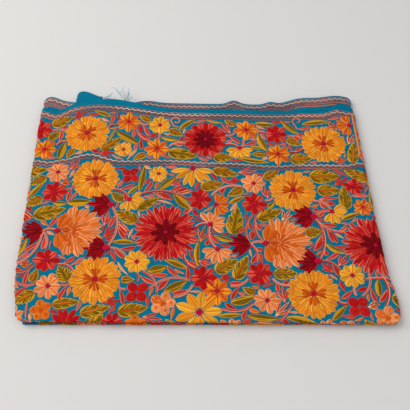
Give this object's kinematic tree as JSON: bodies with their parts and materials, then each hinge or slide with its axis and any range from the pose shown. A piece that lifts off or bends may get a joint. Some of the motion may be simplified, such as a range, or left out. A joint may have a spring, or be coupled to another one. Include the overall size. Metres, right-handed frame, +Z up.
{
  "type": "folded embroidered wool shawl",
  "caption": "Large wool shawl with an all-over embroidered flower field, folded into a flat rectangle and laid face up, with wavy open hems at the back.",
  "frame": {"origin": "on the surface it lies on, below the middle of the folded rectangle", "axes": "+X along the long side of the folded rectangle, to the right; +Y from the rounded front folds to the open hems at the back; +Z up, out of the face of the top layer"},
  "size_m": [0.6838, 0.5382, 0.0207],
  "materials": {
    "embroidered_wool": "solid chain-stitch flowers in orange, red and yellow on turquoise wool",
    "turquoise_wool": "plain turquoise wool twill with a faint nap",
    "warp_threads": "loose twisted turquoise wool threads"
  },
  "bodies": {
    "root": {"face_leaf": "embroidered_wool", "second_leaf": "embroidered_wool", "hidden_layers": "turquoise_wool", "end_corner": "turquoise_wool", "hem_threads": "warp_threads", "corner_threads": "warp_threads"}
  },
  "joints": []
}
